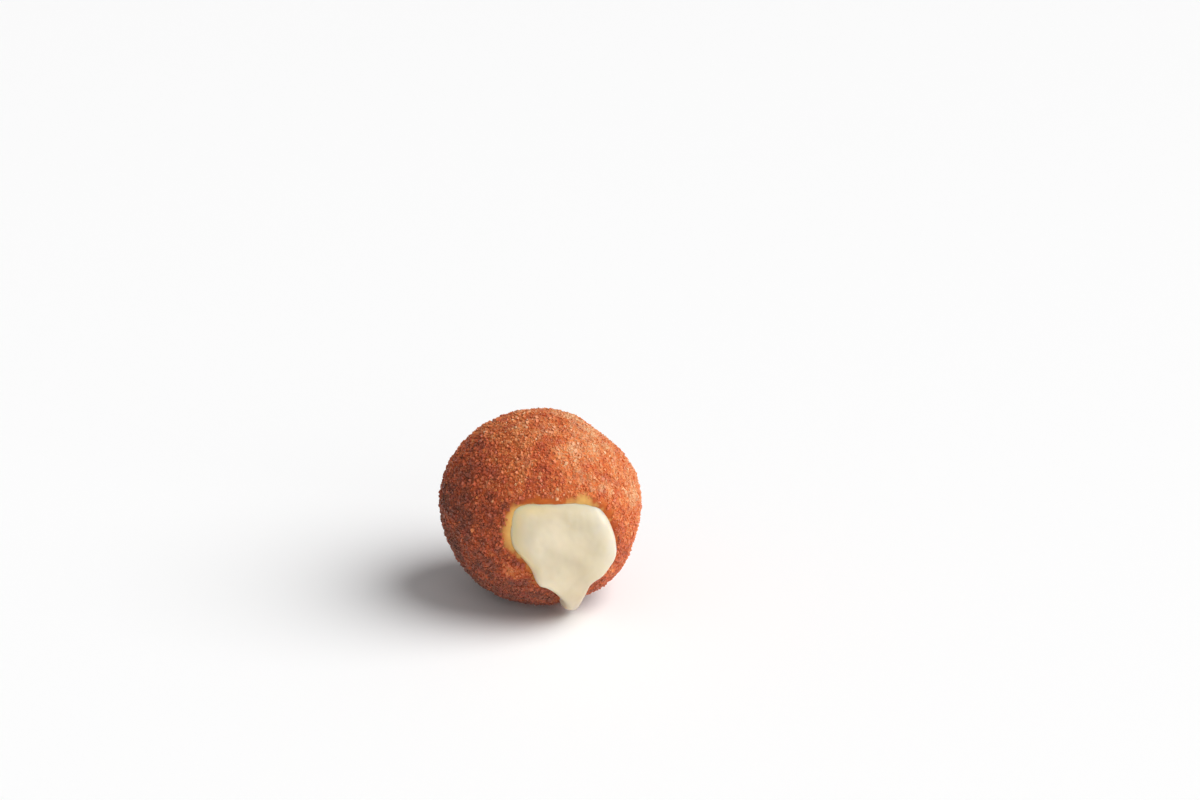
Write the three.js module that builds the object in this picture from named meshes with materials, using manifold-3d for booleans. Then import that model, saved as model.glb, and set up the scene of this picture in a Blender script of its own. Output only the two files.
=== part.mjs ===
// A filled doughnut hole: a fried ball of dough rolled in cinnamon sugar, with a torn mouth in its side
// and the cream of its pocket running out and down in one thick drip.
// Millimetres, +Z up. The ball rests on a small flat foot at z = 0 and its mouth faces -Y.
import * as THREE from "three";
import { ImprovedNoise } from "three/addons/math/ImprovedNoise.js";
import { mergeVertices } from "three/addons/utils/BufferGeometryUtils.js";
import Module from "manifold-3d";

// The ball of dough
const ballRadius = 17.5;
const footRadius = 5; // soft dough sits down on a flat spot this wide
const ballFacets = 16; // cuts of each edge of an icosahedron
const lump = { height: 0.3, length: 11 }; // swellings left by rolling and frying
const pucker = { height: 0.17, length: 4.2 }; // the uneven skin of the crust
const swells = [
  { towards: [0.704, 0.123, 0.7], height: -1.1, spread: 0.33 }, // flattened at the upper right
  { towards: [-0.06, 0.43, 0.9], height: -0.3, spread: 0.5 },
  { towards: [-0.9, 0.367, 0.237], height: 0.5, spread: 0.45 },
  { towards: [0.96, -0.2, 0.15], height: 0.2, spread: 0.4 },
  { towards: [0.63, -0.46, -0.62], height: 0.4, spread: 0.33 },
];
const grainHeight = 0.2; // the bed of sugar, which stands up and down by this much
const rim = { drop: 1.3, width: 2.2 }; // how far the crust turns in round the mouth

// The largest sugar crystals, which stand on the bed of finer ones
const crystal = { count: 132, least: 0.7, most: 1.05, sunk: 0.42, clearOfCream: 1.6, clearOfFloor: 1.2 };

// The mouth, as it is seen from the front: x and z from the centre of the ball
const mouthHeart = [0.3, -1.4];
const mouthAbove = [
  [5.7, 5.2],
  [-0.8, 6.6],
  [-8.0, 6.3],
  [-9.2, 0.4],
  [-6.1, -4.6],
  [-4.9, -7.4],
];
const mouthBelow = [
  [-2.2, -8.7],
  [-0.7, -9.1],
  [0.6, -9.3],
  [1.7, -9.3],
  [2.6, -9.2],
  [3.4, -8.9],
  [4.3, -8.5],
];
const mouthRight = [
  [6.6, -6.9],
  [8.8, -3.9],
  [8.1, 1.4],
];

// The cream fills the mouth out to its edge, and passes over the lower rim as a drip
const drip = [
  [-1.8, -10.0],
  [-0.4, -12.0],
  [0.2, -14.0],
  [2.2, -15.2],
  [4.1, -14.1],
  [3.7, -12.0],
  [4.4, -9.2],
];
const pocket = { radius: 10, forward: 3.5 }; // the ball of cream inside, and how far it lies off centre
const clearance = 0.32; // between the cream and the dough
const cream = { top: -0.8, bottom: 1.2, drip: 1.8, edgeRound: 1.7, seamDepth: 0.3, overFloor: 0.35 };
// Swellings and hollows of its face: a fold is so long one way and so wide the other, turned by degrees
const folds = [
  { x: 1.8, z: 2.1, height: -0.65, length: 3.0, width: 2.0, turn: 0 },
  { x: 6.6, z: 0.6, height: 0.65, length: 3.4, width: 2.2, turn: 75 },
  { x: -6.2, z: 1.4, height: 0.15, length: 1.9, width: 1.5, turn: 90 },
  { x: -5.4, z: -2.6, height: -0.15, length: 2.0, width: 1.5, turn: 60 },
  { x: 1.2, z: -2.6, height: 0.3, length: 3.6, width: 1.3, turn: -31 },
  { x: 3.4, z: -5.6, height: 0.3, length: 2.6, width: 2.2, turn: 0 },
];
const creamColumns = 76;
const creamFaceRows = 11;
const lipRows = 5;
const pocketRows = 4;

const { lerp, smoothstep, clamp, degToRad, seededRandom } = THREE.MathUtils;
const centreHeight = Math.sqrt(ballRadius ** 2 - footRadius ** 2);
const perlin = new ImprovedNoise();
const wasm = await Module();
wasm.setup();

// The direction from the ball's centre to what is seen at x, z from the front.
function facing([x, z]) {
  return new THREE.Vector3(x, -Math.sqrt(ballRadius ** 2 - x * x - z * z), z).normalize();
}

// The direction that lies a share of the way from one direction to another. A share over 1 goes past it.
function swing(from, to, share) {
  const axis = new THREE.Vector3().crossVectors(from, to).normalize();
  return from.clone().applyAxisAngle(axis, from.angleTo(to) * share);
}

// A closed, smooth outline as directions from the ball's centre.
function outline(points, count) {
  const flat = points.map(([x, z]) => new THREE.Vector3(x, 0, z));
  const curve = new THREE.CatmullRomCurve3(flat, true, "centripetal");
  return Array.from({ length: count }, (_, i) => {
    const { x, z } = curve.getPoint(i / count);
    return facing([x, z]);
  });
}

const mouthPoints = [...mouthAbove, ...mouthBelow, ...mouthRight];
const creamPoints = [...mouthAbove, ...drip, ...mouthRight];
const heart = facing(mouthHeart);
const mouthEdge = outline(mouthPoints, creamColumns);
const creamEdge = outline(creamPoints, creamColumns);
const fineMouthEdge = outline(mouthPoints, creamColumns * 5);
const fineCreamEdge = outline(creamPoints, creamColumns * 5);

// Millimetres along the ball from a direction to the nearest point of an edge.
function distanceTo(edge, direction) {
  const nearest = Math.max(...edge.map((point) => point.dot(direction)));
  return Math.acos(clamp(nearest, -1, 1)) * ballRadius;
}

function noiseAt(direction, { height, length }, shift) {
  const scale = ballRadius / length;
  return height * perlin.noise(direction.x * scale + shift, direction.y * scale, direction.z * scale);
}

// How much fuller than a sphere the hand-rolled ball is.
function fullness(direction) {
  return swells.reduce((sum, { towards, height, spread }) => {
    const angle = direction.angleTo(new THREE.Vector3(...towards));
    return sum + height * Math.exp(-((angle / spread) ** 2));
  }, 0);
}

// The crust's radius without its sugar: a lumpy ball that turns in round the mouth.
function crustRadius(direction) {
  const inward = clamp(1 - distanceTo(fineMouthEdge, direction) / rim.width, 0, 1);
  const turnedIn = rim.drop * (1 - Math.sqrt(1 - inward ** 2));
  const uneven = noiseAt(direction, lump, 3.7) + noiseAt(direction, pucker, 8.1);
  return ballRadius + fullness(direction) + uneven - turnedIn;
}

function atRadius(direction, radius) {
  return direction.clone().multiplyScalar(radius);
}

// The tip of the drip hangs a little way over what the ball rests on.
function offTheFloor(point) {
  const lowest = cream.overFloor - centreHeight;
  return point.z < lowest ? point.multiplyScalar(lowest / point.z) : point;
}

function solidOf(geometry) {
  for (const name of ["normal", "uv"]) geometry.deleteAttribute(name);
  const merged = mergeVertices(geometry, 1e-4);
  const vertProperties = merged.attributes.position.array;
  return new wasm.Manifold(new wasm.Mesh({ numProp: 3, vertProperties, triVerts: merged.index.array }));
}

function geometryOf(solid) {
  const { vertProperties, triVerts } = solid.getMesh();
  const geometry = new THREE.BufferGeometry();
  geometry.setAttribute("position", new THREE.BufferAttribute(vertProperties, 3));
  geometry.setIndex(new THREE.BufferAttribute(triVerts, 1));
  geometry.translate(0, 0, centreHeight);
  geometry.computeVertexNormals();
  return geometry;
}

// A closed skin from a first pole, over rings that have as many points each, to a last pole.
function skin(firstPole, rings, lastPole) {
  const columns = rings[0].length;
  const last = 1 + rings.length * columns;
  const at = (ring, column) => 1 + ring * columns + (column % columns);
  const faces = [];
  for (let column = 0; column < columns; column++) {
    faces.push(0, at(0, column), at(0, column + 1));
    for (let ring = 1; ring < rings.length; ring++) {
      faces.push(at(ring - 1, column), at(ring, column), at(ring, column + 1));
      faces.push(at(ring - 1, column), at(ring, column + 1), at(ring - 1, column + 1));
    }
    faces.push(last, at(rings.length - 1, column + 1), at(rings.length - 1, column));
  }
  const points = [firstPole, ...rings.flat(), lastPole];
  const geometry = new THREE.BufferGeometry().setFromPoints(points);
  geometry.setIndex(faces);
  return geometry;
}

// The rings of the pocket's wall, from points on the mouth's edge back to the pole of the pocket.
function pocketRings(edgePoints, radius) {
  const centre = new THREE.Vector3(0, -pocket.forward, 0);
  const back = new THREE.Vector3(0, 1, 0);
  return Array.from({ length: pocketRows }, (_, row) => {
    const share = (row + 1) / (pocketRows + 1);
    return edgePoints.map((point) => {
      const from = point.clone().sub(centre);
      const reach = lerp(from.length(), radius, smoothstep(share, 0, 0.35));
      return swing(from.normalize(), back, share).multiplyScalar(reach).add(centre);
    });
  });
}

function pocketPole(radius) {
  return new THREE.Vector3(0, radius - pocket.forward, 0);
}

// How far the cream's skin stands over the ball, before it rounds off towards its edge.
function creamHeight(direction) {
  const x = direction.x * ballRadius;
  const z = direction.z * ballRadius;
  const slump = lerp(cream.top, cream.bottom, smoothstep(-z, -6.5, 7));
  const running = lerp(0, cream.drip - cream.bottom, smoothstep(-z, 8, 11));
  const folded = folds.reduce((sum, fold) => {
    const turn = degToRad(fold.turn);
    const along = ((x - fold.x) * Math.cos(turn) + (z - fold.z) * Math.sin(turn)) / fold.length;
    const across = ((z - fold.z) * Math.cos(turn) - (x - fold.x) * Math.sin(turn)) / fold.width;
    return sum + fold.height * Math.exp(-(along ** 2) - across ** 2);
  }, 0);
  return slump + running + folded;
}

// How far the edge of a column of cream hangs over the mouth's rim: 0 in the mouth and 1 along the drip.
function overhang(column) {
  const reach = creamEdge[column].distanceTo(mouthEdge[column]) * ballRadius;
  return smoothstep(reach, 0.05, 0.45);
}

// The radius of the seam where the cream's face meets its underside.
function seamRadius(direction, hangs) {
  return crustRadius(direction) + lerp(-cream.seamDepth, clearance + 0.6, hangs);
}

// The rings of the face are round near its heart, and take the outline's shape further out.
function creamFace() {
  const reaches = creamEdge.map((edge) => heart.angleTo(edge));
  const furthest = Math.max(...reaches);
  return Array.from({ length: creamFaceRows }, (_, row) => {
    const left = 1 - (row + 1) / creamFaceRows;
    return creamEdge.map((edge, column) => {
      const share = 1 - left ** (1.25 * furthest / reaches[column]);
      const direction = swing(heart, edge, share);
      const inward = clamp(distanceTo(fineCreamEdge, direction) / cream.edgeRound, 0, 1);
      const seam = seamRadius(direction, overhang(column));
      const full = ballRadius + creamHeight(direction);
      const rounded = row === creamFaceRows - 1 ? 0 : Math.sqrt(1 - (1 - inward) ** 2);
      return offTheFloor(atRadius(direction, lerp(seam, full, rounded)));
    });
  });
}

// The underside of the drip lies over the crust, and in the mouth the same rings go down its wall.
// The rings draw together at the mouth, where the crust rolls in.
function creamUnderside() {
  return Array.from({ length: lipRows }, (_, row) => {
    const share = 1 - (1 - (row + 1) / lipRows) ** 1.8;
    return creamEdge.map((edge, column) => {
      const hangs = overhang(column);
      const direction = hangs > 0 ? swing(edge, mouthEdge[column], share) : edge;
      const downWall = crustRadius(direction) - cream.seamDepth - 0.9 * share;
      const furtherOut = swing(heart, direction, 1 + clearance / (heart.angleTo(direction) * ballRadius));
      const highest = Math.max(crustRadius(direction), crustRadius(furtherOut));
      return atRadius(direction, lerp(downWall, highest + clearance + 0.15, hangs));
    });
  });
}

function creamFilling() {
  const face = creamFace();
  const underside = creamUnderside();
  const wall = mouthEdge.map((edge) => atRadius(edge, ballRadius - 2.6));
  const rings = [...face, ...underside, wall, ...pocketRings(wall, pocket.radius)];
  const crown = atRadius(heart, ballRadius + creamHeight(heart));
  return solidOf(skin(crown, rings, pocketPole(pocket.radius)));
}

// The room in the dough for the cream: the pocket and the mouth, a clearance wider all round.
function mouthAndPocket() {
  const wider = mouthEdge.map((edge, column) => {
    const along = mouthEdge[(column + 1) % creamColumns].clone().sub(mouthEdge.at(column - 1));
    return edge.clone().addScaledVector(along.cross(edge).normalize(), clearance / ballRadius).normalize();
  });
  const outside = wider.map((edge) => atRadius(edge, ballRadius + 4));
  const wall = wider.map((edge) => atRadius(edge, ballRadius - 2.6));
  const roomy = pocket.radius + clearance;
  const rings = [outside, wall, ...pocketRings(wall, roomy)];
  return solidOf(skin(atRadius(heart, ballRadius + 6), rings, pocketPole(roomy)));
}

function sugarCrystal(index) {
  const height = 1 - (2 * (index + 0.5)) / crystal.count; // an even spiral over the ball
  const turn = index * Math.PI * (3 - Math.sqrt(5));
  const stray = () => (seededRandom() - 0.5) * 0.12;
  const around = Math.sqrt(1 - height * height);
  const direction = new THREE.Vector3(
    around * Math.cos(turn) + stray(),
    around * Math.sin(turn) + stray(),
    height + stray(),
  ).normalize();
  const size = lerp(crystal.least, crystal.most, seededRandom() ** 2);
  const sides = [size, size * lerp(0.65, 1, seededRandom()), size * lerp(0.55, 0.9, seededRandom())];
  const tumble = new THREE.Euler(seededRandom() * 6, seededRandom() * 6, seededRandom() * 6);
  const place = atRadius(direction, crustRadius(direction) + size * (0.5 - crystal.sunk));
  const nearCream =
    direction.y < 0 && distanceTo(fineCreamEdge, direction) < crystal.clearOfCream + size;
  const inMouth = direction.angleTo(heart) < 0.42;
  if (nearCream || inMouth || place.z + centreHeight < crystal.clearOfFloor) return null;
  const geometry = new THREE.BoxGeometry(...sides);
  geometry.applyMatrix4(new THREE.Matrix4().makeRotationFromEuler(tumble));
  geometry.translate(place.x, place.y, place.z);
  return solidOf(geometry);
}

function crust() {
  const geometry = new THREE.IcosahedronGeometry(1, ballFacets);
  for (const name of ["normal", "uv"]) geometry.deleteAttribute(name);
  const ball = mergeVertices(geometry, 1e-5);
  const position = ball.attributes.position;
  const direction = new THREE.Vector3();
  for (let i = 0; i < position.count; i++) {
    direction.fromBufferAttribute(position, i).normalize();
    const fromCream = distanceTo(fineCreamEdge, direction);
    const sugared = smoothstep(fromCream, 0.8, 2.6) * smoothstep(direction.z, -0.94, -0.86);
    const grain = grainHeight * (2 * seededRandom() - 1) * sugared;
    const point = atRadius(direction, crustRadius(direction) + grain);
    position.setXYZ(i, point.x, point.y, Math.max(point.z, -centreHeight));
  }
  return solidOf(ball);
}

function doughBall() {
  seededRandom(20);
  const ball = crust();
  const crystals = Array.from({ length: crystal.count }, (_, i) => sugarCrystal(i)).filter(Boolean);
  const sugared = crystals.reduce((sum, one) => sum.add(one), ball);
  return sugared.subtract(mouthAndPocket());
}

function piece(name, solid, material) {
  const mesh = new THREE.Mesh(geometryOf(solid), new THREE.MeshStandardMaterial(material));
  mesh.name = name;
  return mesh;
}

const doughnutHole = new THREE.Group();
doughnutHole.add(piece("dough_ball", doughBall(), { color: "#b8683f", roughness: 0.75, metalness: 0 }));
doughnutHole.add(piece("cream_filling", creamFilling(), { color: "#e8dcbc", roughness: 0.35, metalness: 0 }));
export default doughnutHole;
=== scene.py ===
import math

import bpy
import numpy as np
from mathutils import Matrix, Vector


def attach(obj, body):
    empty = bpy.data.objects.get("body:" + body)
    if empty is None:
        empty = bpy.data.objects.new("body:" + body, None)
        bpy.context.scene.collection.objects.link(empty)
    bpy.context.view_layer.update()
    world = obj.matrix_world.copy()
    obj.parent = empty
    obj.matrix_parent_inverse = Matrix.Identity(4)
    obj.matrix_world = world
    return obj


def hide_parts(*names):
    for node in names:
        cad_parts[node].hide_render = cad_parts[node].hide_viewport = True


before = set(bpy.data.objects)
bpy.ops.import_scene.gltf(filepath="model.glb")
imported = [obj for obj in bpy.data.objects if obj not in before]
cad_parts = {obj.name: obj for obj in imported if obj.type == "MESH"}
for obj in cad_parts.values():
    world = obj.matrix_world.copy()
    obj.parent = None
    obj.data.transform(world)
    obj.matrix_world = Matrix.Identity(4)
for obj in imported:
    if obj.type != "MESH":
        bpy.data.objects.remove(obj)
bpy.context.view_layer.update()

# A filled doughnut hole: a fried ball of dough in cinnamon sugar, with a torn mouth in its side and
# cream that runs out of it in one drip. Sizes are in millimetres until a mesh is made.
mm = 0.001

ball = {
    "radius": 17.5,
    "footRadius": 5.0,  # the flat spot that it sits on
    "coat": 0.3,  # the thickness of the sugar, which stands on the crust
    "swells": [  # where the hand-rolled ball is fuller or flatter: direction, height, spread in radians
        ((0.704, 0.123, 0.7), -1.1, 0.33),
        ((-0.06, 0.43, 0.9), -0.3, 0.5),
        ((-0.9, 0.367, 0.237), 0.5, 0.45),
        ((0.96, -0.2, 0.15), 0.2, 0.4),
        ((0.63, -0.46, -0.62), 0.4, 0.33),
    ],
    # All waves have a height, a length and a seed. These are the swellings left by frying and the
    # uneven skin of the crust.
    "uneven": [(0.3, 11.0, 4), (0.17, 4.2, 5)],
    "grain": [(0.09, 1.1, 40), (0.08, 0.55, 41)],  # relief of the sugar that is stuck to the crust
    "columns": 440,
    "nearRows": [0.0, 0.05, 0.12, 0.22, 0.35, 0.5, 0.68, 0.88, 1.1, 1.33, 1.57, 1.82],  # from the mouth
    "farFrom": 2.07,  # from here on the rows lie one step apart
    "rowStep": 0.27,
}

# The edge of the mouth, where the crust turns in, the sugar ends and the golden crumb shows
rim = {
    "drop": 1.3,  # how far the crust turns in
    "width": 2.2,
    "torn": [(0.35, 2.3, 6)],  # the waves that its torn edge strays by
    "wallTop": 0.5,
    "bareBelow": 0.45,  # it is bare of sugar this far, more so at its top
    "bareAbove": 1.0,
    "topBetween": (-0.5, 0.4),  # where below turns to above, in parts of the radius
    "bareWaves": [(0.6, 1.8, 31)],
    "sugarFade": 1.3,
    "clearOfCream": (0.1, 0.7),
    "clearOfFloor": (0.25, 1.2),
    "bareRelief": 0.4,  # how much of the grain is left where no sugar lies
    "crumb": 0.25,  # the golden inside of the dough shows this wide
    "crumbWaves": [(0.4, 1.2, 33), (0.2, 0.6, 36)],
    "crumbLeast": 0.05,
    "crumbFade": 2.4,  # how many times that width it takes to fade
    "crumbShows": 0.2,
    "crumbBare": 0.85,  # how much of the sugar it keeps off
    "crumbBareOver": (0.1, 0.7),
    "goldenPlaces": [  # x, z, how much wider there, and how far that reaches
        (3.1, 8.0, 1.5, 1.8),
        (-9.7, 1.4, 1.0, 2.8),
        (-8.4, 6.4, 0.6, 1.7),
        (-9.9, 4.0, 0.6, 1.3),
        (-6.4, -4.6, 0.3, 2.0),
    ],
}

# The mouth as it is seen from the front: x and z from the centre of the ball
mouthHeart = (0.3, -1.4)
mouthAbove = [(5.7, 5.2), (-0.8, 6.6), (-8.0, 6.3), (-9.2, 0.4), (-6.1, -4.6), (-4.9, -7.4)]
mouthBelow = [
    (-2.2, -8.7), (-0.7, -9.1), (0.6, -9.3), (1.7, -9.3), (2.6, -9.2), (3.4, -8.9), (4.3, -8.5),
]
mouthRight = [(6.6, -6.9), (8.8, -3.9), (8.1, 1.4)]
drip = [
    (-1.8, -10.0), (-0.4, -12.0), (0.2, -14.0), (2.2, -15.2), (4.1, -14.1), (3.7, -12.0), (4.4, -9.2),
]
mouthPoints = mouthAbove + mouthBelow + mouthRight
creamPoints = mouthAbove + drip + mouthRight

centreHeight = math.sqrt(ball["radius"] ** 2 - ball["footRadius"] ** 2)


def unit(vectors):
    return vectors / np.linalg.norm(vectors, axis=-1, keepdims=True)


# Directions from the centre of the ball to what is seen at x, z from the front
def facing(points):
    x, z = np.asarray(points, float).T
    return unit(np.stack([x, -np.sqrt(ball["radius"] ** 2 - x * x - z * z), z], axis=-1))


# The directions that lie a share of the way from some to others, and past them over 1
def between(start, end, share):
    cosine = np.clip((start * end).sum(-1, keepdims=True), -1, 1)
    axis = np.cross(start, end)
    axis = axis / np.maximum(np.linalg.norm(axis, axis=-1, keepdims=True), 1e-12)
    angle = np.arccos(cosine) * share
    return start * np.cos(angle) + np.cross(axis, start) * np.sin(angle)


# A closed, smooth curve through points, with as many steps between each two of them
def outline(points, count):
    p = np.asarray(points, float)
    t = np.arange(count) / count * len(p)
    i = t.astype(int)
    w = (t - i)[:, None]
    p0, p1, p2, p3 = (p[(i + k) % len(p)] for k in (-1, 0, 1, 2))
    spans = (p1 - p0, p2 - p1, p3 - p2)
    d0, d1, d2 = (np.sqrt(np.linalg.norm(span, axis=-1, keepdims=True)) for span in spans)
    m1 = d1 * ((p1 - p0) / d0 - (p2 - p0) / (d0 + d1) + (p2 - p1) / d1)
    m2 = d1 * ((p2 - p1) / d1 - (p3 - p1) / (d1 + d2) + (p3 - p2) / d2)
    curve = p1 + m1 * w + (3 * (p2 - p1) - 2 * m1 - m2) * w**2 + (2 * (p1 - p2) + m1 + m2) * w**3
    return facing(curve)


# The same closed curve with steps of one length
def evenly(edge, count):
    closed = np.vstack([edge, edge[:1]])
    along = np.concatenate([[0], np.cumsum(np.linalg.norm(np.diff(closed, axis=0), axis=1))])
    at = np.linspace(0, along[-1], count, endpoint=False)
    return unit(np.stack([np.interp(at, along, closed[:, k]) for k in range(3)], axis=-1))


# Millimetres along the ball to the nearest point of an edge
def distanceTo(edge, directions):
    flat = directions.reshape(-1, 3)
    parts = np.array_split(flat, len(flat) // 4000 + 1)
    nearest = np.concatenate([(part @ edge.T).max(1) for part in parts])
    return np.arccos(np.clip(nearest, -1, 1)).reshape(directions.shape[:-1]) * ball["radius"]


def smooth(value, low, high):
    t = np.clip((value - low) / (high - low), 0, 1)
    return t * t * (3 - 2 * t)


def mix(low, high, share):
    return low + (high - low) * share


lattice = {
    "side": 32,  # how many bumps pass before the waves repeat
    "shift": 11.3,  # keeps the ball's centre off a corner, where every wave is 0
    "gain": 1.7,
}


# Smooth random waves between about -1 and 1, whose bumps are as long as length
def waves(points, length, seed):
    side = lattice["side"]
    rng = np.random.default_rng(seed)
    slopes = unit(rng.normal(size=(side, side, side, 3)))
    at = points / length + lattice["shift"]
    cell = np.floor(at).astype(int)
    part = at - cell
    ease = part**3 * (part * (part * 6 - 15) + 10)
    total = 0
    for corner in np.ndindex(2, 2, 2):
        c = np.array(corner)
        index = (cell + c) % side
        slope = slopes[index[..., 0], index[..., 1], index[..., 2]]
        weight = np.prod(np.where(c == 1, ease, 1 - ease), axis=-1)
        total = total + weight * (slope * (part - c)).sum(-1)
    return total * lattice["gain"]


def addWaves(total, points, layers):
    for height, length, seed in layers:
        total = total + height * waves(points, length, seed)
    return total


# A rounded rise to 1 at a direction, which falls off over a spread in radians
def mound(directions, towards, spread):
    angle = np.arccos(np.clip(directions @ unit(np.array(towards)), -1, 1))
    return np.exp(-((angle / spread) ** 2))


stepsPerPoint = 40
heart = facing([mouthHeart])[0]
mouthEdge = outline(mouthPoints, len(mouthPoints) * stepsPerPoint)
creamEdge = outline(creamPoints, len(creamPoints) * stepsPerPoint)


# Cinnamon sugar lies in thicker, paler and thinner, darker patches. On top of that it is painted paler
# towards the lamp at the upper right front and darker on the far side: painted light and shade
sugarBed = {
    "paintedLightFrom": (0.56, -0.14, 0.81),
    "middle": 0.5,
    "gradient": 0.31,
    "patches": [(0.12, 5.5, 60), (0.17, 2.1, 61), (0.1, 1.2, 62)],
    "clusters": [  # direction, how much more or less, spread in radians
        ((-0.56, -0.76, -0.33), 0.4, 0.1),
        ((-0.42, -0.85, -0.32), 0.25, 0.08),
        ((-0.5, 0.85, 0.1), 0.12, 0.6),
        ((-0.79, -0.6, -0.12), 0.06, 0.25),
        ((-0.81, -0.38, 0.45), -0.1, 0.1),
        ((-0.85, -0.53, -0.03), -0.08, 0.1),
        ((-0.91, -0.13, 0.39), -0.06, 0.25),
        ((-0.16, -0.57, 0.81), -0.08, 0.15),
        ((0.4, -0.79, 0.46), 0.3, 0.05),
        ((0.49, -0.77, 0.4), 0.35, 0.05),
        # paler on the lit right limb: a painted sheen
        ((0.77, -0.6, 0.22), 0.14, 0.2),
        # darker on the left side, away from the lamp: painted shade
        ((-0.95, -0.25, 0.15), -0.1, 0.35),
        ((0.35, -0.27, 0.9), 0.15, 0.1),
        ((-0.73, -0.46, 0.51), 0.15, 0.07),
        ((-0.65, -0.04, 0.76), -0.1, 0.12),
        ((0.03, -0.74, 0.68), -0.16, 0.09),
        ((-0.3, -0.76, -0.57), -0.1, 0.12),
    ],
    "tones": [
        (0.05, "#6b3a2d"), (0.3, "#90462b"), (0.5, "#c55a2c"), (0.72, "#d77b40"), (1.0, "#e0ac80"),
    ],
}


# The sugar bed's thickness, with painted light and shade: more towards the lamp, less away from it
def bedAndPaintedShade(directions):
    paintedLightFrom = unit(np.array(sugarBed["paintedLightFrom"]))
    total = sugarBed["middle"] + sugarBed["gradient"] * directions @ paintedLightFrom
    total = addWaves(total, directions * ball["radius"], sugarBed["patches"])
    for towards, more, spread in sugarBed["clusters"]:
        total = total + more * mound(directions, towards, spread)
    return total


# The radius of the crust without its sugar: a lumpy ball that turns in round the mouth
def evenCrust(directions, toMouth):
    uneven = addWaves(0, directions * ball["radius"], ball["uneven"]) - ball["coat"]
    for towards, height, spread in ball["swells"]:
        uneven = uneven + height * mound(directions, towards, spread)
    inward = np.clip(1 - toMouth / rim["width"], 0, 1)
    return ball["radius"] + uneven - rim["drop"] * (1 - np.sqrt(1 - inward**2))


def addObject(name, data):
    made = bpy.data.objects.new(name, data)
    bpy.context.scene.collection.objects.link(made)
    return made


# A closed mesh from a first pole, over rings with as many points each, to a last pole
def skin(name, firstPole, rings, lastPole, attributes=None):
    rings = np.asarray(rings)
    rows, columns = rings.shape[:2]
    points = np.vstack([firstPole, rings.reshape(-1, 3), lastPole]) + [0, 0, centreHeight]
    column = np.arange(columns)
    after = (column + 1) % columns
    quads = []
    for row in range(rows - 1):
        near = 1 + row * columns
        far = near + columns
        quads.append(np.stack([near + column, far + column, far + after, near + after], axis=-1))
    faces = np.vstack(quads).tolist()
    end = 1 + rows * columns
    pairs = list(zip(column.tolist(), after.tolist()))
    faces += [[0, 1 + a, 1 + b] for a, b in pairs]
    faces += [[end, end - columns + b, end - columns + a] for a, b in pairs]
    mesh = bpy.data.meshes.new(name)
    mesh.from_pydata((points * mm).tolist(), [], faces)
    mesh.shade_smooth()
    for key, (first, values, last) in (attributes or {}).items():
        data = np.concatenate([[first], np.asarray(values, float).ravel(), [last]])
        mesh.attributes.new(key, "FLOAT", "POINT").data.foreach_set("value", data)
    return addObject(name, mesh)


# The pocket of cream inside, a little forward of the ball's centre
pocket = {
    "radius": 10.0,
    "doughRoom": 0.3,  # how much wider it is in the dough and in the cream
    "creamRoom": 0.1,
    "forward": 3.5,
    "rows": 6,
    "wallDepth": 2.6,
    "roundBy": 0.35,  # the share of the way back by which its wall is round
}


def pocketRings(wall, room):
    back = np.array([0.0, 1.0, 0.0])
    centre = -pocket["forward"] * back
    reach = np.linalg.norm(wall - centre, axis=-1, keepdims=True)
    start = unit(wall - centre)
    rings = []
    for row in range(1, pocket["rows"] + 1):
        share = row / (pocket["rows"] + 1)
        length = mix(reach, pocket["radius"] + room, smooth(share, 0, pocket["roundBy"]))
        rings.append(between(start, back, share) * length + centre)
    return rings


def pocketPole(room):
    return [0, pocket["radius"] + room - pocket["forward"], 0]


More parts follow.
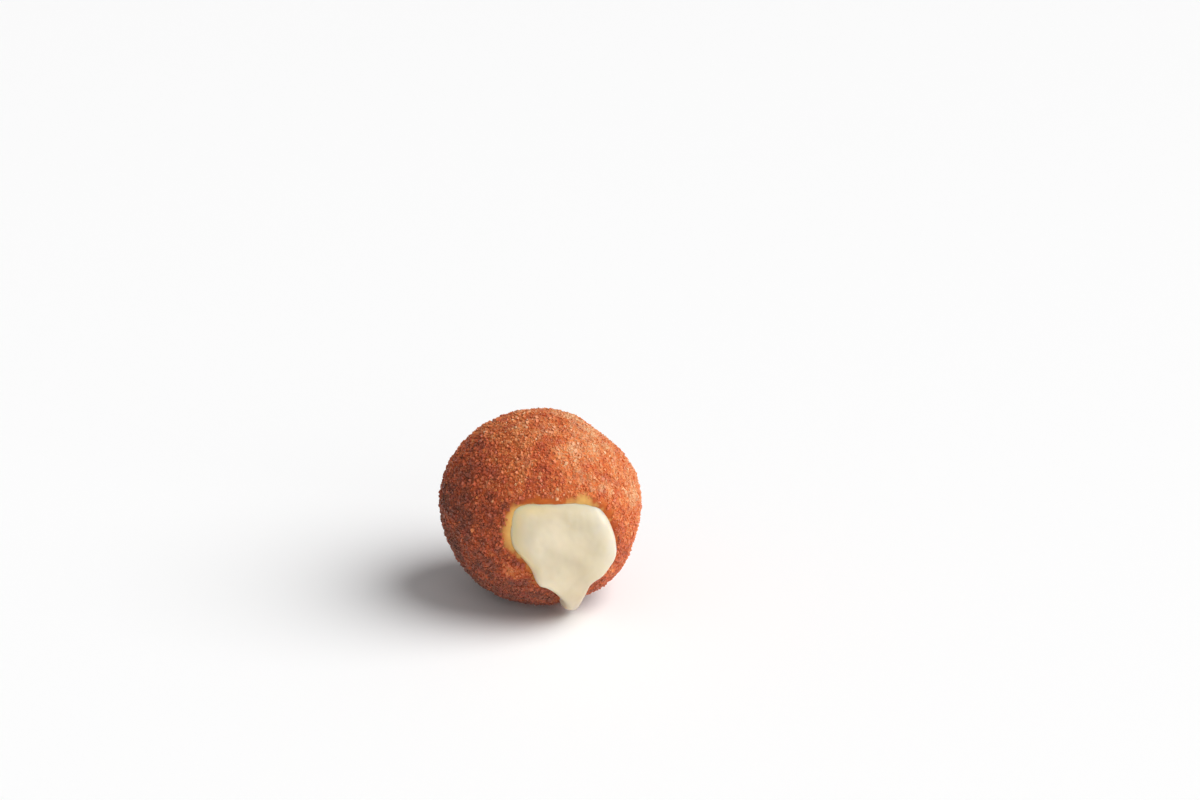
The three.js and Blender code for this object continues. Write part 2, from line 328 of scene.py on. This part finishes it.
def makeCrust():
    radius = ball["radius"]
    edge = evenly(mouthEdge, ball["columns"])
    stray = addWaves(0, edge * radius, rim["torn"])
    reach = np.arccos(edge @ heart)[:, None] * radius
    edge = between(heart, edge, 1 + stray[:, None] / reach)
    length = (math.pi - np.arccos(edge @ heart)[:, None]) * radius
    farRows = int((np.max(length) - ball["farFrom"]) / ball["rowStep"])
    far = [mix(ball["farFrom"], length, row / farRows) for row in range(farRows)]
    rows = [between(edge, -heart[None, :], at / length) for at in [*ball["nearRows"], *far]]
    directions = unit(np.array(rows))
    place = directions * radius
    toMouth = distanceTo(edge, directions)

    # Sugar covers it all but the rim, what lies under the cream and the foot
    above = smooth(directions[..., 2], *rim["topBetween"])
    bareTo = addWaves(mix(rim["bareBelow"], rim["bareAbove"], above), place, rim["bareWaves"])
    foot, clear = (height - centreHeight for height in rim["clearOfFloor"])
    cover = smooth(toMouth, bareTo, bareTo + rim["sugarFade"])
    cover = cover * smooth(distanceTo(creamEdge, directions), *rim["clearOfCream"])
    cover = cover * smooth(place[..., 2], foot, clear)

    crumb = addWaves(rim["crumb"], place, rim["crumbWaves"])
    for x, z, extra, spread in rim["goldenPlaces"]:
        away = (place[..., 0] - x) ** 2 + (place[..., 2] - z) ** 2
        crumb = crumb + extra * np.exp(-away / spread**2)
    fade = np.maximum(crumb, rim["crumbLeast"]) * rim["crumbFade"]
    golden = (1 - smooth(toMouth, 0, fade)) * smooth(crumb, 0, rim["crumbShows"])
    cover = cover * (1 - rim["crumbBare"] * smooth(golden, *rim["crumbBareOver"]))

    relief = addWaves(0, place, ball["grain"]) * mix(rim["bareRelief"], 1, cover)
    rings = directions * (evenCrust(directions, toMouth) + relief)[..., None]
    rings[..., 2] = np.maximum(rings[..., 2], -centreHeight)
    wallTop = edge * (evenCrust(edge, np.zeros(len(edge))) - rim["wallTop"])[:, None]
    wall = edge * (radius - pocket["wallDepth"])
    inner = pocketRings(wall, pocket["doughRoom"])[::-1]
    farFromMouth = np.array([np.inf])
    pole = -heart * evenCrust(-heart[None, :], farFromMouth)
    hidden = np.zeros((len(inner) + 2, len(edge)))
    attributes = {
        "sugarCover": (0, np.vstack([hidden, cover]), 1),
        "goldenCrumb": (1, np.vstack([hidden + 1, golden]), 0),
        # the sugar bed, with its painted light and shade
        "bedAndShade": (0.5, np.vstack([hidden + 0.5, bedAndPaintedShade(directions)]), 0.5),
    }
    allRings = np.array([*inner, wall, wallTop, *rings])
    return skin("dough_crust", pocketPole(pocket["doughRoom"]), allRings, pole, attributes)


crust = makeCrust()
print("crust", len(crust.data.polygons))

# The cream fills the mouth out to its edge, and passes over the lower rim as a drip
cream = {
    "top": -0.8,  # how far its face stands over the ball, and under it where this is negative
    "bottom": 1.2,
    "bottomBetween": (-6.5, 7),  # how far under the ball's centre its top turns to its bottom
    "drip": 1.8,
    "dripBetween": (8, 11),
    "waves": [(0.07, 2.6, 51), (0.03, 1.1, 52)],
    "edgeRound": 1.8,  # how far in it rises from its edge
    "seam": 0.25,  # how deep under the crust its edge lies
    "intoDough": 0.45,  # it reaches into the wall of the mouth, so that no gap shows
    "smearRound": 2.8,  # along its top and left it thins out over the crumb instead
    "smearSeam": 0.03,
    "smearOut": 0.55,
    "smearAbove": (-6, -3),
    "smearLeftOf": (2, 7),
    "warmFrom": (0.2, 3.5),  # how far in from that thin edge the crumb shows through
    "warmLeft": (0, 7),
    "warmLeast": 0.15,
    "overFloor": 0.35,
    "hangsBetween": (0.05, 0.45),  # how far past the mouth an edge is before it hangs
    "drips": (1.0, -9.5),  # x and z where its columns turn, to meet the sides of the drip squarely
    "columnsPerPoint": 22,
    "faceRows": 46,
    "crowding": 1.7,  # how much closer together its rows lie towards the edge
    "lipRows": 6,
}
folds = [  # x, z, height, length along the fold, width across it, and its turn in degrees
    (1.8, 2.1, -0.65, 3.0, 2.0, 0),
    (6.6, 0.6, 0.65, 3.4, 2.2, 75),
    (-6.2, 1.4, 0.15, 1.9, 1.5, 90),
    (-5.4, -2.6, -0.15, 2.0, 1.5, 60),
    (1.2, -2.6, 0.2, 3.6, 1.3, -31),
    (3.4, -5.6, 0.15, 2.6, 2.2, 0),
]


def creamHeight(directions):
    place = directions * ball["radius"]
    x, z = place[..., 0], place[..., 2]
    height = mix(cream["top"], cream["bottom"], smooth(-z, *cream["bottomBetween"]))
    height = height + (cream["drip"] - cream["bottom"]) * smooth(-z, *cream["dripBetween"])
    for foldX, foldZ, rise, length, width, turn in folds:
        c, s = math.cos(math.radians(turn)), math.sin(math.radians(turn))
        along = ((x - foldX) * c + (z - foldZ) * s) / length
        across = ((z - foldZ) * c - (x - foldX) * s) / width
        height = height + rise * np.exp(-(along**2) - across**2)
    return addWaves(height, place, cream["waves"])


def makeCream():
    radius = ball["radius"]
    count = len(mouthPoints) * cream["columnsPerPoint"]
    mouth = outline(mouthPoints, count)
    edge = outline(creamPoints, count)
    hangs = smooth(np.linalg.norm(edge - mouth, axis=-1) * radius, *cream["hangsBetween"])[:, None]
    reach = np.arccos(edge @ heart)[:, None]
    x, z = edge[:, :1] * radius, edge[:, 2:] * radius
    smear = smooth(z, *cream["smearAbove"]) * (1 - smooth(x, *cream["smearLeftOf"]))
    widen = mix(cream["intoDough"], cream["smearOut"], smear) / radius * (1 - hangs)
    edge = between(heart, edge, 1 + widen / reach)
    intoWall = cream["intoDough"] / radius / np.arccos(mouth @ heart)[:, None]
    mouth = between(heart, mouth, 1 + intoWall)
    reach = reach + widen
    roundReach = reach.min()
    turnAt = unit(mix(between(heart, edge, 0.5), facing([cream["drips"]]), hangs))
    crustThere = evenCrust(edge, distanceTo(mouthEdge, edge))[:, None]
    seam = crustThere - mix(cream["seam"], cream["smearSeam"], smear)
    roundOver = mix(cream["edgeRound"], cream["smearRound"], smear)
    rings = []
    warmth = []
    for row in range(1, cream["faceRows"] + 1):
        share = 1 - (1 - row / cream["faceRows"]) ** cream["crowding"]
        at = roundReach * share + (reach - roundReach) * share**3
        part = at / reach
        directions = between(between(heart, turnAt, part), between(turnAt, edge, part), part)
        toEdge = distanceTo(edge, directions)[:, None]
        shallow = 1 - (1 - np.clip(toEdge / roundOver, 0, 1)) ** 2
        rounded = mix(np.sqrt(shallow), shallow, smear)
        full = radius + creamHeight(directions)[:, None]
        rings.append(directions * mix(seam, full, rounded))
        left = mix(cream["warmLeast"], 1, smooth(-directions[:, 0] * radius, *cream["warmLeft"]))
        warmth.append((1 - smooth(toEdge[:, 0], *cream["warmFrom"])) * left * smear[:, 0])
    for row in range(1, cream["lipRows"] + 1):
        share = row / cream["lipRows"]
        directions = between(edge, mouth, share * hangs)
        crustHere = evenCrust(directions, distanceTo(mouthEdge, directions))[:, None]
        rings.append(directions * (crustHere - cream["seam"] - share))
    rings = np.array(rings)
    lowest = cream["overFloor"] - centreHeight
    low = rings[..., 2] < lowest
    rings[low] *= (lowest / rings[low][:, 2])[:, None]
    wall = mouth * (radius - pocket["wallDepth"])
    inner = pocketRings(wall, pocket["creamRoom"])
    crown = heart * (radius + creamHeight(heart[None, :]))
    cold = [np.zeros(count)] * (cream["lipRows"] + 1 + pocket["rows"])
    warmEdge = {"warmEdge": (0, [*warmth, *cold], 0)}
    pole = pocketPole(pocket["creamRoom"])
    return skin("vanilla_cream", crown, [*rings, wall, *inner], pole, warmEdge)


filling = makeCream()
print("cream", len(filling.data.polygons))


# An sRGB hex value as linear red, green, blue and alpha
def colour(code):
    parts = [int(code[k : k + 2], 16) / 255 for k in (1, 3, 5)]
    return [p / 12.92 if p <= 0.04045 else ((p + 0.055) / 1.055) ** 2.4 for p in parts] + [1]


# Adds a node. A setting is a property of the node, or else one of its inputs by name or number
def addNode(tree, kind, settings=None, links=None):
    node = tree.nodes.new(kind)
    for key, value in (settings or {}).items():
        if isinstance(key, str) and hasattr(node, key):
            setattr(node, key, value)
        else:
            node.inputs[key].default_value = value
    for key, source in (links or {}).items():
        tree.links.new(source, node.inputs[key])
    return node


def attribute(tree, name):
    return addNode(tree, "ShaderNodeAttribute", {"attribute_name": name}).outputs["Fac"]


# Noise whose clouds are about as long as length, in metres
def noise(tree, place, length, detail):
    settings = {"Scale": 1 / length, "Detail": detail}
    return addNode(tree, "ShaderNodeTexNoise", settings, {"Vector": place}).outputs["Fac"]


def remap(tree, value, start=(0, 1), end=(0, 1)):
    settings = {"From Min": start[0], "From Max": start[1], "To Min": end[0], "To Max": end[1]}
    return addNode(tree, "ShaderNodeMapRange", settings, {"Value": value}).outputs[0]


def calculate(tree, operation, first, second):
    return addNode(tree, "ShaderNodeMath", {"operation": operation}, {0: first, 1: second}).outputs[0]


# The colour that stops, from places and hex colours, give a value
def toneOf(tree, value, stops):
    node = addNode(tree, "ShaderNodeValToRGB", links={"Fac": value})
    elements = node.color_ramp.elements
    while len(elements) < len(stops):
        elements.new(0.5)
    for element, (place, code) in zip(elements, stops):
        element.position = place
        element.color = colour(code)
    return node.outputs["Color"]


# Goes from one colour to a hex colour
def tinted(tree, share, first, code):
    settings = {"data_type": "RGBA", 7: colour(code)}
    return addNode(tree, "ShaderNodeMix", settings, {0: share, 6: first}).outputs[2]


def newMaterial(name, surface):
    material = bpy.data.materials.new(name)
    material.use_nodes = True
    tree = material.node_tree
    tree.nodes.clear()
    shader = addNode(tree, "ShaderNodeBsdfPrincipled", surface)
    addNode(tree, "ShaderNodeOutputMaterial", links={"Surface": shader.outputs[0]})
    return material, tree, shader


# The colour of the sugar bed, from thin over dark crust to thick and pale, with clumps of cinnamon,
# and with painted light and shade: paler towards the lamp, darker away from it
def bedAndShadeTone(tree, more):
    place = addNode(tree, "ShaderNodeTexCoord").outputs["Object"]
    tones = toneOf(tree, calculate(tree, "ADD", attribute(tree, "bedAndShade"), more), sugarBed["tones"])
    redder = remap(tree, noise(tree, place, 0.0022, 2), (0.52, 0.72), (0, 0.45))
    return tinted(tree, redder, tones, "#b04a38")


def crustMaterial():
    # Yeast dough fried in oil: a dry, reddish-brown skin, gritty where cinnamon sugar is stuck to it.
    # The bare rim is smooth and a little oily, and turns to golden crumb where it is torn.
    surface = {
        "Roughness": 0.62,
        "IOR": 1.45,
        "Specular IOR Level": 0.25,
        "Subsurface Weight": 0.15,
        "Subsurface Scale": 0.0008,
        "Subsurface Radius": (1.0, 0.45, 0.2),
    }
    material, tree, shader = newMaterial("fried_dough", surface)
    place = addNode(tree, "ShaderNodeTexCoord").outputs["Object"]
    cover = attribute(tree, "sugarCover")
    grains = noise(tree, place, 0.0009, 3)
    bare = toneOf(tree, noise(tree, place, 0.004, 3), [(0.35, "#a5461a"), (0.65, "#c46320")])
    # The sugar bed's colour, with painted light and shade towards and away from the lamp
    bedAndShade = bedAndShadeTone(tree, remap(tree, grains, (0.3, 0.7), (-0.3, 0.05)))
    sugared = addNode(tree, "ShaderNodeMix", {"data_type": "RGBA"}, {0: cover, 6: bare, 7: bedAndShade})
    shade = tinted(tree, attribute(tree, "goldenCrumb"), sugared.outputs[2], "#d8ab5e")
    tree.links.new(shade, shader.inputs["Base Color"])
    tree.links.new(remap(tree, cover, end=(0.42, 0.7)), shader.inputs["Roughness"])
    cells = addNode(tree, "ShaderNodeTexVoronoi", {"Scale": 1 / 0.00042}, {"Vector": place})
    grit = calculate(tree, "MULTIPLY", cells.outputs["Distance"], cover)
    bump = addNode(tree, "ShaderNodeBump", {"Strength": 0.8, "Distance": 0.00018}, {"Height": grit})
    fine = addNode(
        tree, "ShaderNodeBump", {"Strength": 0.4, "Distance": 0.00012},
        {"Height": grains, "Normal": bump.outputs[0]},
    )
    tree.links.new(fine.outputs[0], shader.inputs["Normal"])
    return material


def creamMaterial():
    # Vanilla pastry cream: soft and slightly see-through, with a broad wet gloss. Its colour holds
    # painted
    # light: paler at the shaded left side, whiter at the right edge as a painted highlight, and lighter
    # on the low part that faces away from the lamp. It is yellower where it thins out over the crumb at
    # its left edge.
    surface = {
        "Roughness": 0.33,
        "IOR": 1.4,
        "Subsurface Weight": 0.8,
        "Subsurface Scale": 0.0022,
        "Subsurface Radius": (1.0, 0.75, 0.4),
        "Coat Weight": 0.4,
        "Coat Roughness": 0.2,
    }
    material, tree, shader = newMaterial("vanilla_cream", surface)
    place = addNode(tree, "ShaderNodeTexCoord").outputs["Object"]
    cloudy = remap(tree, noise(tree, place, 0.005, 2), (0.3, 0.7), (-0.1, 0.1))
    # Paler at the left, which lies in shade, and whiter at the right edge: painted shade and a painted
    # highlight, over clouds of tone
    toLeft = addNode(
        tree, "ShaderNodeVectorMath", {"operation": "DOT_PRODUCT", 1: (-0.97, 0, -0.24)}, {0: place},
    )
    paintedLightAcross = remap(tree, toLeft.outputs["Value"], (-0.012, 0.001))
    tone = toneOf(
        tree, calculate(tree, "ADD", cloudy, paintedLightAcross),
        [(0.0, "#ded6c2"), (0.35, "#d5c8aa"), (0.55, "#d3c5a7"), (1.0, "#efe2c6")],
    )
    # Painted light and shade by height: lighter on the low part, which faces away from the lamp, darker
    # on the drip and above
    height = addNode(tree, "ShaderNodeSeparateXYZ", links={0: place}).outputs["Z"]
    upIt = remap(tree, height, (0.002, 0.024))
    paintedShadeByHeight = toneOf(tree, upIt, [(0.1, "#eae7e2"), (0.35, "#fbfaf8"), (0.55, "#f1f1f1")])
    shaded = addNode(
        tree, "ShaderNodeMix", {"data_type": "RGBA", "blend_type": "MULTIPLY", 0: 1.0},
        {6: tone, 7: paintedShadeByHeight},
    )
    warm = tinted(tree, attribute(tree, "warmEdge"), shaded.outputs[2], "#f2dcac")
    tree.links.new(warm, shader.inputs["Base Color"])
    silk = noise(tree, place, 0.0012, 2)
    bump = addNode(tree, "ShaderNodeBump", {"Strength": 0.15, "Distance": 0.0001}, {"Height": silk})
    tree.links.new(bump.outputs[0], shader.inputs["Normal"])
    return material


def sugarMaterial():
    # Granulated sugar stained by cinnamon: small crystals with dulled faces, a few of them almost clear,
    # that let a little light in at their edges.
    surface = {
        "Roughness": 0.5,
        "IOR": 1.5,
        "Subsurface Weight": 0.35,
        "Subsurface Scale": 0.0004,
        "Subsurface Radius": (1.0, 0.6, 0.35),
        "Sheen Weight": 0.1,
        "Sheen Roughness": 0.5,
    }
    material, tree, shader = newMaterial("cinnamon_sugar", surface)
    tint = attribute(tree, "tint")
    usual = remap(tree, tint, end=(-0.05, 0.05))
    clear = remap(tree, tint, (0.93, 1.0), (0, 0.3))
    # The crystals take the bed's colour, with its painted light and shade
    tree.links.new(bedAndShadeTone(tree, calculate(tree, "ADD", usual, clear)), shader.inputs["Base Color"])
    return material


# Sugar is thrown over the crust and sticks where it lands. Each kind has a size and the room it takes.
sugarKinds = {
    "coarse_sugar": {
        "smallest": 0.3,
        "largest": 0.66,
        "apart": 0.31,
        "perSquareMetre": 8.5e6,
        "sunk": 0.08,
        "seed": 7,
    },
    "fine_sugar": {
        "smallest": 0.18,
        "largest": 0.34,
        "apart": 0.28,
        "perSquareMetre": 8.0e6,
        "sunk": 0.03,
        "seed": 19,
    },
    "sugar_dust": {
        "smallest": 0.15,
        "largest": 0.3,
        "apart": 0.28,
        "perSquareMetre": 8.0e6,
        "sunk": 0.03,
        "seed": 31,
    },
}
crystalPlay = {
    "deepest": -1.6,  # how far it may lie in or out, times how far its kind is sunk
    "highest": 0.4,
    "turn": 6.28,  # radians
    "smallOnes": 1.8,  # over 1, small crystals are more common than large ones
    "slimmest": (0.8, 0.6, 0.55),
    "fullest": (1.1, 1.0, 0.9),
    "tintSeed": 88,
}


# Sticks crystals to a surface, more of them where sugarCover is high
def sugarTree(name):
    tree = bpy.data.node_groups.new(name, "GeometryNodeTree")
    face = tree.interface
    face.new_socket("Geometry", in_out="INPUT", socket_type="NodeSocketGeometry")
    for label in ("Smallest", "Largest", "Apart", "Density", "Sunk"):
        face.new_socket(label, in_out="INPUT", socket_type="NodeSocketFloat")
    face.new_socket("Seed", in_out="INPUT", socket_type="NodeSocketInt")
    face.new_socket("Crystal", in_out="INPUT", socket_type="NodeSocketObject")
    face.new_socket("Finish", in_out="INPUT", socket_type="NodeSocketMaterial")
    face.new_socket("Geometry", in_out="OUTPUT", socket_type="NodeSocketGeometry")
    start = addNode(tree, "NodeGroupInput").outputs
    cover = addNode(
        tree, "GeometryNodeInputNamedAttribute", {"data_type": "FLOAT", "Name": "sugarCover"},
    )
    points = addNode(
        tree, "GeometryNodeDistributePointsOnFaces", {"distribute_method": "POISSON"},
        {
            "Mesh": start["Geometry"],
            "Distance Min": start["Apart"],
            "Density Max": start["Density"],
            "Density Factor": cover.outputs["Attribute"],
            "Seed": start["Seed"],
        },
    )
    seeded = {"Seed": start["Seed"]}
    shift = addNode(
        tree, "FunctionNodeRandomValue",
        {"data_type": "FLOAT", 2: crystalPlay["deepest"], 3: crystalPlay["highest"]}, seeded,
    )
    lift = addNode(
        tree, "ShaderNodeVectorMath", {"operation": "SCALE"},
        {
            0: points.outputs["Normal"],
            "Scale": calculate(tree, "MULTIPLY", shift.outputs[1], start["Sunk"]),
        },
    )
    moved = addNode(
        tree, "GeometryNodeSetPosition",
        links={"Geometry": points.outputs["Points"], "Offset": lift.outputs[0]},
    )
    crystal = addNode(tree, "GeometryNodeObjectInfo", links={"Object": start["Crystal"]})
    turn = addNode(
        tree, "FunctionNodeRandomValue",
        {"data_type": "FLOAT_VECTOR", 0: (0, 0, 0), 1: (crystalPlay["turn"],) * 3}, seeded,
    )
    pick = addNode(tree, "FunctionNodeRandomValue", {"data_type": "FLOAT", 2: 0.0, 3: 1.0}, seeded)
    rarer = addNode(
        tree, "ShaderNodeMath",
        {"operation": "POWER", 1: crystalPlay["smallOnes"]}, {0: pick.outputs[1]},
    )
    size = addNode(
        tree, "ShaderNodeMapRange",
        links={"Value": rarer.outputs[0], "To Min": start["Smallest"], "To Max": start["Largest"]},
    )
    sides = addNode(
        tree, "FunctionNodeRandomValue",
        {"data_type": "FLOAT_VECTOR", 0: crystalPlay["slimmest"], 1: crystalPlay["fullest"]}, seeded,
    )
    scale = addNode(
        tree, "ShaderNodeVectorMath", {"operation": "SCALE"},
        {0: sides.outputs[0], "Scale": size.outputs[0]},
    )
    placed = addNode(
        tree, "GeometryNodeInstanceOnPoints",
        links={
            "Points": moved.outputs[0],
            "Instance": crystal.outputs["Geometry"],
            "Rotation": turn.outputs[0],
            "Scale": scale.outputs[0],
        },
    )
    shade = addNode(
        tree, "FunctionNodeRandomValue",
        {"data_type": "FLOAT", 2: 0.0, 3: 1.0, "Seed": crystalPlay["tintSeed"]},
    )
    marked = addNode(
        tree, "GeometryNodeStoreNamedAttribute",
        {"data_type": "FLOAT", "domain": "INSTANCE", "Name": "tint"},
        {"Geometry": placed.outputs[0], "Value": shade.outputs[1]},
    )
    real = addNode(tree, "GeometryNodeRealizeInstances", links={"Geometry": marked.outputs[0]})
    flat = addNode(
        tree, "GeometryNodeSetShadeSmooth", {"Shade Smooth": False}, {"Geometry": real.outputs[0]},
    )
    done = addNode(
        tree, "GeometryNodeSetMaterial",
        links={"Geometry": flat.outputs[0], "Material": start["Finish"]},
    )
    addNode(tree, "NodeGroupOutput", links={0: done.outputs[0]})
    return tree


# A blocky crystal one unit long: a box whose top is sheared and narrower than its base
def crystalShape():
    base = [(-0.5, -0.5, -0.5), (0.5, -0.5, -0.5), (0.5, 0.5, -0.5), (-0.5, 0.5, -0.5)]
    top = [(-0.34, -0.42, 0.5), (0.46, -0.3, 0.42), (0.4, 0.38, 0.5), (-0.4, 0.46, 0.4)]
    faces = [(3, 2, 1, 0), (4, 5, 6, 7), (0, 1, 5, 4), (1, 2, 6, 5), (2, 3, 7, 6), (3, 0, 4, 7)]
    mesh = bpy.data.meshes.new("crystal")
    mesh.from_pydata(base + top, [], faces)
    return addObject("crystal", mesh)


def stickSugar(name, kind, finish, crystal, tree):
    carrier = addObject(name + "_carrier", crust.data)
    modifier = carrier.modifiers.new("sugar", "NODES")
    modifier.node_group = tree
    values = {
        "Smallest": kind["smallest"] * mm,
        "Largest": kind["largest"] * mm,
        "Apart": kind["apart"] * mm,
        "Density": kind["perSquareMetre"],
        "Sunk": kind["sunk"] * mm,
        "Seed": kind["seed"],
        "Crystal": crystal,
        "Finish": finish,
    }
    for item in tree.interface.items_tree:
        if item.in_out == "INPUT" and item.name in values:
            modifier[item.identifier] = values[item.name]
    carrier.update_tag()
    graph = bpy.context.evaluated_depsgraph_get()
    graph.update()
    mesh = bpy.data.meshes.new_from_object(carrier.evaluated_get(graph))
    bpy.data.objects.remove(carrier)
    print(name, len(mesh.polygons) // 6, "crystals", len(mesh.polygons) * 2, "triangles")
    return addObject(name, mesh)


crust.data.materials.append(crustMaterial())
filling.data.materials.append(creamMaterial())
sugarLook = sugarMaterial()
crystal = crystalShape()
tree = sugarTree("sugar_on_crust")
sugar = [stickSugar(name, kind, sugarLook, crystal, tree) for name, kind in sugarKinds.items()]
bpy.data.objects.remove(crystal)

for piece in (crust, *sugar):
    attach(piece, "root")
    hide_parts("dough_ball")
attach(filling, "root")
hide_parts("cream_filling")

# A white tabletop in a white studio, with a broad soft lamp high at the right front
studio = {
    "floorSize": 6.0,
    "floor": "#fafafa",
    "world": 0.23,  # how bright the room is, though it looks white
    "lamp": (0.61, -0.32, 0.725),
    "lampPower": 3.3,
    "fill": (0.2, -0.97, 0.1),  # a weak lamp low in front
    "fillPower": 1.0,
    "lampSpread": 55,  # degrees, as broad as a softbox close by
}


def makeStudio():
    half = studio["floorSize"] / 2
    mesh = bpy.data.meshes.new("tabletop")
    corners = [(-half, -half, 0), (half, -half, 0), (half, half, 0), (-half, half, 0)]
    mesh.from_pydata(corners, [], [(0, 1, 2, 3)])
    floor = addObject("tabletop", mesh)
    material, _, shader = newMaterial("white_card", {"Roughness": 0.8})
    shader.inputs["Base Color"].default_value = colour(studio["floor"])
    mesh.materials.append(material)
    world = bpy.data.worlds.new("white_room")
    bpy.context.scene.world = world
    world.use_nodes = True
    glow = world.node_tree.nodes["Background"]
    glow.inputs["Color"].default_value = (1, 1, 1, 1)
    rays = addNode(world.node_tree, "ShaderNodeLightPath")
    strength = remap(world.node_tree, rays.outputs["Is Camera Ray"], end=(studio["world"], 1))
    world.node_tree.links.new(strength, glow.inputs["Strength"])
    for name, towards, power in (
        ("softbox", studio["lamp"], studio["lampPower"]),
        ("fill_lamp", studio["fill"], studio["fillPower"]),
    ):
        light = bpy.data.lights.new(name, "SUN")
        light.angle = math.radians(studio["lampSpread"])
        light.energy = power
        lamp = addObject(name, light)
        lamp.rotation_euler = (-Vector(towards)).to_track_quat("-Z", "Y").to_euler()
    bpy.context.scene.view_settings.view_transform = "Standard"


makeStudio()

# The photograph's view: from the front and a little to the left, looking 21 degrees down
view = {
    "place": (-0.0856, -0.2990, 0.1553),
    "turn": 17.886,
    "down": 20.903,
    "lens": 58,
    "nearest": 0.01,
}


def makeCamera():
    data = bpy.data.cameras.new("camera")
    data.lens = view["lens"]
    data.clip_start = view["nearest"]
    camera = addObject("camera", data)
    turn, down = math.radians(view["turn"]), math.radians(view["down"])
    look = Vector((math.sin(turn) * math.cos(down), math.cos(turn) * math.cos(down), -math.sin(down)))
    camera.location = view["place"]
    camera.rotation_euler = look.to_track_quat("-Z", "Y").to_euler()
    bpy.context.scene.camera = camera


makeCamera()
